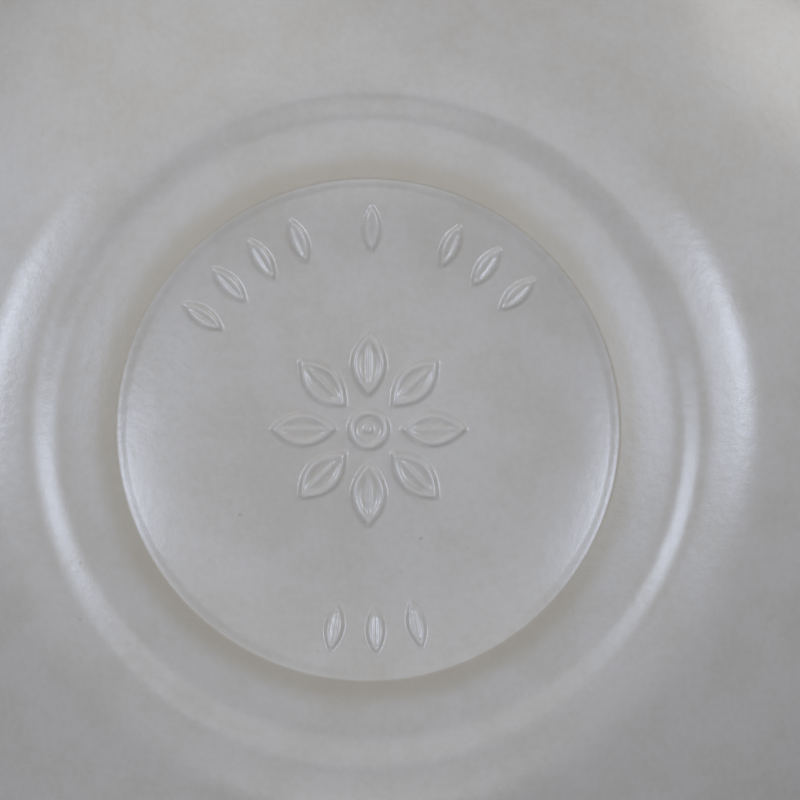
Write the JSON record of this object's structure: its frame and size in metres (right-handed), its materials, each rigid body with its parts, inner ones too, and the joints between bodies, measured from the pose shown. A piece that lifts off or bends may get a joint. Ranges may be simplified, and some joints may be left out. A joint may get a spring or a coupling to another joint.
{
  "type": "chip and dip server",
  "caption": "Round glazed stoneware chip plate with turned-up sides, and a dip bowl that stands in a low ring at its centre and lifts straight out.",
  "frame": {"origin": "on the surface that the server stands on, under the centre of the plate's foot ring", "axes": "+Z up, along the axis that the plate and the bowl are turned round; +Y is the raised marks' own up, and -X is on the right when they are seen from below with +Y up"},
  "size_m": [0.311, 0.311, 0.0705],
  "materials": {
    "plate_glaze": "satin warm off-white glaze, finely speckled",
    "bowl_glaze": "satin warm off-white glaze, finely speckled"
  },
  "bodies": {
    "plate": {"chip_plate": "plate_glaze"},
    "bowl": {"dip_bowl": "bowl_glaze"}
  },
  "joints": [
    {"name": "dip_bowl_lift", "type": "slide", "parent": "plate", "child": "bowl", "axis": [0, 0, 1], "range_m": [0, 0.09]}
  ]
}
